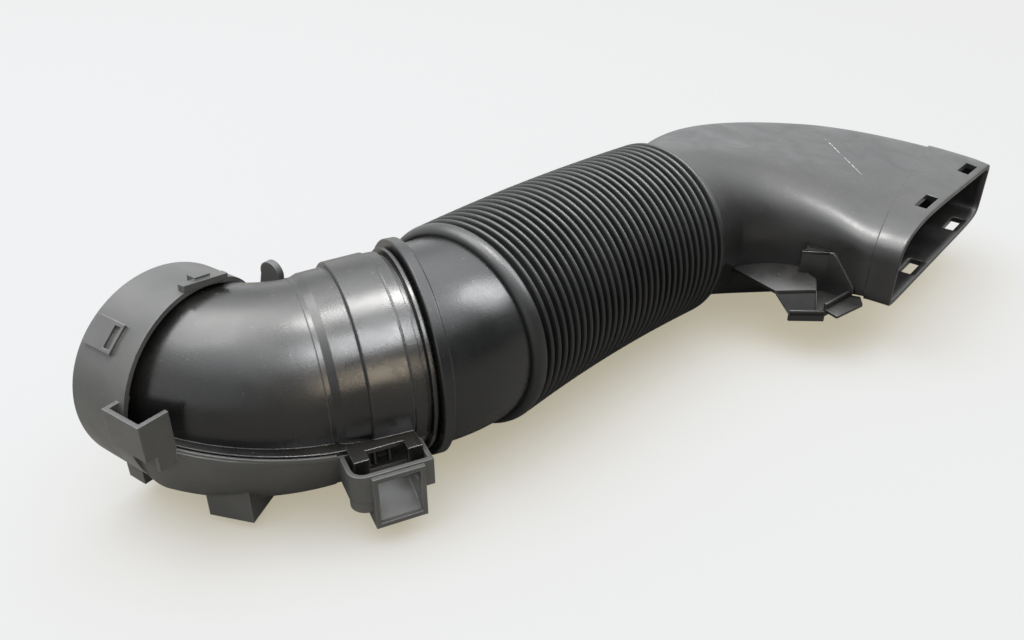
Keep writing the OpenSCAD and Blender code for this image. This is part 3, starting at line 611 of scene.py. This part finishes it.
def scratch_group():
    """A fine scratch: a mask of the distance in plan from a straight line between two places.

    The place is set off from the line's start, and its share along the line, held to the
    line's ends, gives the nearest point. Noise bends the line and breaks the mask."""
    group, source, result = new_group("scratch", {"Width": (FLOAT, 0.0004)}, {"Mask": (FLOAT, None)})
    w = Wiring(group)
    start, end = (Vector(place) * MM for place in SCRATCH)
    run = end - start
    where = w.add("ShaderNodeTexCoord").outputs["Object"]
    off = w.vector("SUBTRACT", where, start)
    flat = w.vector("MULTIPLY", off, (1.0, 1.0, 0.0))
    share = w.vector("DOT_PRODUCT", flat, run / run.length_squared, "Value")
    held = w.math("MINIMUM", w.math("MAXIMUM", share, 0.0), 1.0)
    nearest = w.tree.nodes.new("ShaderNodeVectorMath")
    nearest.operation = "SCALE"
    nearest.inputs[0].default_value = run
    w.set(nearest.inputs["Scale"], held)
    gap = w.vector("LENGTH", w.vector("SUBTRACT", flat, nearest.outputs["Vector"]), (0, 0, 0), "Value")
    bent = w.math("ADD", gap, w.math("MULTIPLY", w.noise(120.0, 2.0), 0.0012))
    line = w.remap(w.math("SUBTRACT", bent, 0.0006), source.outputs["Width"], 0.0)
    broken = w.remap(w.noise(420.0, 2.0), 0.38, 0.55)
    w.set(result.inputs["Mask"], w.math("MULTIPLY", line, broken))
    return group


EDGE_WEAR = edge_wear_group()
DUST = dust_group()
SCRATCH_LINE = scratch_group()
SKIN = grain_group()


def use_group(w, group, **inputs):
    node = w.tree.nodes.new("ShaderNodeGroup")
    node.node_tree = group
    for name, value in inputs.items():
        w.set(node.inputs[name.replace("_", " ")], value)
    return node.outputs


def moulded(name, base, tint, worn, dust, roughness, wear=0.6, width=0.0006, dust_amount=0.35,
            grain=0.25, wave=1.0, bump=0.12, patch_scale=18.0, scratched=None):
    """A moulded black plastic or rubber: two close tones, worn edges, settled dust and skin.

    roughness is the least and the most roughness, which follows smudges. scratched is the
    tone of a scratch, where the piece has one."""
    material = bpy.data.materials.new(name)
    material.use_nodes = True
    w = Wiring(material.node_tree)
    shader = w.tree.nodes["Principled BSDF"]
    edge = use_group(w, EDGE_WEAR, Width=width, Amount=wear)
    settled = use_group(w, DUST, Amount=dust_amount, Patch_Scale=patch_scale)
    height = use_group(w, SKIN, Grain=grain, Wave=wave)["Height"]
    tone = w.remap(w.noise(26.0, 5.0, 0.6), 0.34, 0.68)
    colour = w.blend(tone, base, tint)
    colour = w.blend(edge["Mask"], colour, worn)
    colour = w.blend(settled["Mask"], colour, dust)
    colour = w.blend(settled["Specks"], colour, dust)
    if scratched:
        colour = w.blend(use_group(w, SCRATCH_LINE)["Mask"], colour, scratched)
    smudges = w.remap(w.noise(48.0, 6.0, 0.65, 0.6), 0.3, 0.7, roughness[0], roughness[1])
    rough = w.math("ADD", smudges, w.math("MULTIPLY", settled["Mask"], 0.3), clamp=True)
    bumped = w.add("ShaderNodeBump", Strength=bump, Distance=0.001, Height=height, Normal=edge["Normal"])
    w.set(shader.inputs["Base Color"], colour)
    w.set(shader.inputs["Roughness"], rough)
    w.set(shader.inputs["Normal"], bumped.outputs["Normal"])
    return material


def grey(value, red=1.0, green=1.0, blue=1.0):
    return (value * red, value * green, value * blue, 1.0)


UPPER = moulded("upper_shell_black", grey(0.002), grey(0.004, 1.06, 1.0, 0.92), grey(0.07),
                grey(0.04, 1.12, 1.0, 0.86), (0.22, 0.34), wear=0.5, dust_amount=0.14)
# The lower shell's lighter base is partly its greyer, dustier plastic and partly a painted reflection of the
# pale floor below it
LOWER = moulded("lower_shell_black", grey(0.039, 0.99, 1.0, 0.96), grey(0.056, 1.0, 1.0, 0.95),
                grey(0.16), grey(0.05, 1.05, 1.0, 0.92), (0.32, 0.46), wear=0.7, dust_amount=0.12)
TUBE = moulded("tube_black", grey(0.003, 0.97, 1.02, 1.0), grey(0.006, 0.98, 1.0, 0.97), grey(0.06),
               grey(0.04, 1.06, 1.0, 0.9), (0.2, 0.32), wear=0.4, dust_amount=0.12)
SEAL = moulded("seal_rubber_black", grey(0.006), grey(0.009), grey(0.02), grey(0.04), (0.6, 0.75),
               wear=0.1, dust_amount=0.1)
HOSE = moulded("hose_rubber_black", grey(0.004, 0.97, 1.0, 0.99), grey(0.007), grey(0.03),
               grey(0.04, 1.03, 1.0, 0.95), (0.3, 0.42), wear=0.0, dust_amount=0.14, wave=0.2)
SNORKEL = moulded("snorkel_black", grey(0.006, 1.02, 1.0, 0.97), grey(0.010, 1.04, 1.0, 0.95),
                  grey(0.1), grey(0.05, 1.06, 1.0, 0.9), (0.28, 0.42), wear=0.6, dust_amount=0.35,
                  scratched=grey(0.3))


def dress(piece, material):
    """Puts one finish on a whole piece."""
    piece.data.materials.clear()
    piece.data.materials.append(material)


def dress_cad(node, material):
    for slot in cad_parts[node].material_slots:
        slot.material = material


# Stage, light and camera
FLOOR_HALF = 4.0
# The floor's glow is painted light: an emission under a cool matt colour, which paints its shadows warm and
# light
FLOOR_GLOW = (0.52, 0.475, 0.35, 1.0)
# Reach in metres and depth of the floor's painted contact shade, which dims its glow near the duct
FLOOR_PAINTED_SHADE_REACH, FLOOR_PAINTED_SHADE_DEPTH = 0.035, 0.78
FLOOR_MATT = (0.106, 0.12, 0.157, 1.0)
FLOOR_BOUNCE = (0.17, 0.163, 0.149, 1.0)
ROOM_BRIGHT, ROOM_DIM, ROOM_TOP = 1.3, 0.2, 4.6
DIM_HEADING = -85
ROOM_COLOUR = (0.96, 0.98, 1.0, 1.0)
# Panels as place, target, size, power and colour, in metres and watts
PANELS = {
    "overhead_panel": ((-0.3, 0.6, 1.8), (0.17, -0.09, 0.0), (1.6, 1.0), 30.0, (1.0, 0.99, 0.97)),
    "neck_panel": ((-0.033, -0.437, 0.446), (0.04, -0.091, 0.025), (0.14, 0.2), 2.2, (0.96, 0.98, 1.0)),
    "warm_panel": ((-0.133, -0.654, 0.153), (0.038, -0.095, 0.018), (0.12, 0.2), 0.8, (1.0, 0.86, 0.66)),
    "tube_panel": ((0.50, -0.478, 0.60), (0.08, -0.1, 0.032), (0.28, 0.42), 5.0, (0.96, 0.98, 1.0)),
    "snorkel_panel": ((0.28, -0.16, 1.1), (0.28, -0.16, 0.02), (0.3, 0.3), 11.0, (1.0, 0.99, 0.97)),
}
# What a small panel lights, where it spares the rest
LIT_ONLY = {
    "neck_panel": ("elbow_upper_shell",),
    "warm_panel": ("elbow_upper_shell", "elbow_lower_shell"),
    "tube_panel": ("connecting_tube", "bellows_hose", "elbow_upper_shell"),
    "snorkel_panel": ("snorkel", "bellows_hose", "elbow_upper_shell"),
}


def floor_material():
    """Pale floor: a cool matt surface over a warm glow, painted light that keeps its shadows light and warm,
    dimmed by a painted contact shade near the duct.

    Rays that come from the duct see a plain matt floor, which keeps the blacks deep."""
    material = bpy.data.materials.new("pale_floor")
    material.use_nodes = True
    w = Wiring(material.node_tree)
    w.tree.nodes.remove(w.tree.nodes["Principled BSDF"])
    seen = w.add("ShaderNodeAddShader")
    # Painted contact shade: ambient occlusion dims the floor's glow where the duct comes near
    near = w.add("ShaderNodeAmbientOcclusion", Distance=FLOOR_PAINTED_SHADE_REACH).outputs["AO"]
    glow = w.add("ShaderNodeEmission", Color=FLOOR_GLOW, Strength=w.remap(near, 0.0, 1.0, FLOOR_PAINTED_SHADE_DEPTH, 1.0))
    w.set(seen.inputs[0], glow.outputs[0])
    w.set(seen.inputs[1], w.add("ShaderNodeBsdfDiffuse", Color=FLOOR_MATT).outputs[0])
    choice = w.add("ShaderNodeMixShader")
    w.set(choice.inputs[0], w.add("ShaderNodeLightPath").outputs["Is Camera Ray"])
    w.set(choice.inputs[1], w.add("ShaderNodeBsdfDiffuse", Color=FLOOR_BOUNCE).outputs[0])
    w.set(choice.inputs[2], seen.outputs[0])
    w.set(w.tree.nodes["Material Output"].inputs["Surface"], choice.outputs[0])
    return material


def make_floor():
    """A pale floor through the duct's lowest point."""
    level = cad_box[0][2]
    mesh = bpy.data.meshes.new("floor")
    corners = [(-FLOOR_HALF, -FLOOR_HALF), (FLOOR_HALF, -FLOOR_HALF),
               (FLOOR_HALF, FLOOR_HALF), (-FLOOR_HALF, FLOOR_HALF)]
    mesh.from_pydata([(x, y, level) for x, y in corners], [], [(0, 1, 2, 3)])
    floor = bpy.data.objects.new("floor", mesh)
    bpy.context.scene.collection.objects.link(floor)
    mesh.materials.append(floor_material())


def add_light(name, place, target, size, power, colour):
    """A square area light at a place, aimed at a target, in metres and watts."""
    light = bpy.data.lights.new(name, "AREA")
    light.shape = "RECTANGLE"
    light.size, light.size_y = size
    light.energy, light.color = power, colour
    lamp = bpy.data.objects.new(name, light)
    lamp.location = place
    aim = Vector(target) - Vector(place)
    lamp.rotation_euler = aim.to_track_quat("-Z", "Y").to_euler()
    lamp.visible_camera = False
    bpy.context.scene.collection.objects.link(lamp)
    return lamp


def light_only(lamp, pieces):
    """Keeps a small panel's light to the given pieces, so that the floor under it stays even."""
    receivers = bpy.data.collections.new(lamp.name + "_receivers")
    for piece in pieces:
        receivers.objects.link(piece)
    lamp.light_linking.receiver_collection = receivers


def light_room():
    """A white room: bright overhead and beyond the duct, darker low down on the dim side.

    The brightness follows the direction's height and how far it points to the dim side."""
    world = bpy.data.worlds.new("room")
    world.use_nodes = True
    w = Wiring(world.node_tree)
    direction = w.add("ShaderNodeTexCoord").outputs["Generated"]
    heading = math.radians(DIM_HEADING)
    dim = w.add("ShaderNodeVectorMath", {"operation": "DOT_PRODUCT"})
    w.set(dim.inputs[0], direction)
    dim.inputs[1].default_value = (math.cos(heading), math.sin(heading), 0.0)
    level = w.remap(dim.outputs["Value"], 0.3, 0.9, ROOM_BRIGHT, ROOM_DIM)
    overhead = w.remap(w.add("ShaderNodeSeparateXYZ", Vector=direction).outputs["Z"], 0.45, 0.95)
    rise = w.math("MULTIPLY", overhead, w.math("SUBTRACT", ROOM_TOP, level))
    background = w.tree.nodes["Background"]
    w.set(background.inputs["Strength"], w.math("ADD", level, rise))
    background.inputs["Color"].default_value = ROOM_COLOUR
    bpy.context.scene.world = world


def light_scene(pieces):
    """Lights the scene; pieces gives the objects that show each node."""
    light_room()
    for name, setting in PANELS.items():
        lamp = add_light(name, *setting)
        if name in LIT_ONLY:
            light_only(lamp, [piece for node in LIT_ONLY[name] for piece in pieces[node]])
    settings = bpy.context.scene.view_settings
    settings.view_transform, settings.look = "Standard", "None"


def place_camera():
    """Camera at the photograph's place: heading in plan, then a drop below the level."""
    heading, drop = math.radians(CAMERA_HEADING), math.radians(CAMERA_DROP)
    forward = Vector((math.cos(drop) * math.cos(heading), math.cos(drop) * math.sin(heading),
                      -math.sin(drop)))
    data = bpy.data.cameras.new("camera")
    data.lens, data.sensor_width = CAMERA_LENS, CAMERA_SENSOR
    camera = bpy.data.objects.new("camera", data)
    camera.location = Vector(CAMERA_AT) * MM
    camera.rotation_euler = forward.to_track_quat("-Z", "Y").to_euler()
    bpy.context.scene.collection.objects.link(camera)
    bpy.context.scene.camera = camera


place_camera()
make_floor()

dress_cad("elbow_upper_shell", UPPER)
dress_cad("elbow_lower_shell", LOWER)
dress_cad("elbow_seal", SEAL)
dress_cad("connecting_tube", TUBE)

hose = make_hose()
dress(hose, HOSE)
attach(hose, "root")
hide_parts("bellows_hose")

snorkel = make_snorkel()
cut_slots(snorkel)
snorkel_pieces = [snorkel, *make_bracket()]
for piece in snorkel_pieces:
    dress(piece, SNORKEL)
    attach(piece, "root")
    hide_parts("snorkel")

light_scene({**{name: [node] for name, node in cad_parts.items()},
             "bellows_hose": [hose], "snorkel": snorkel_pieces})
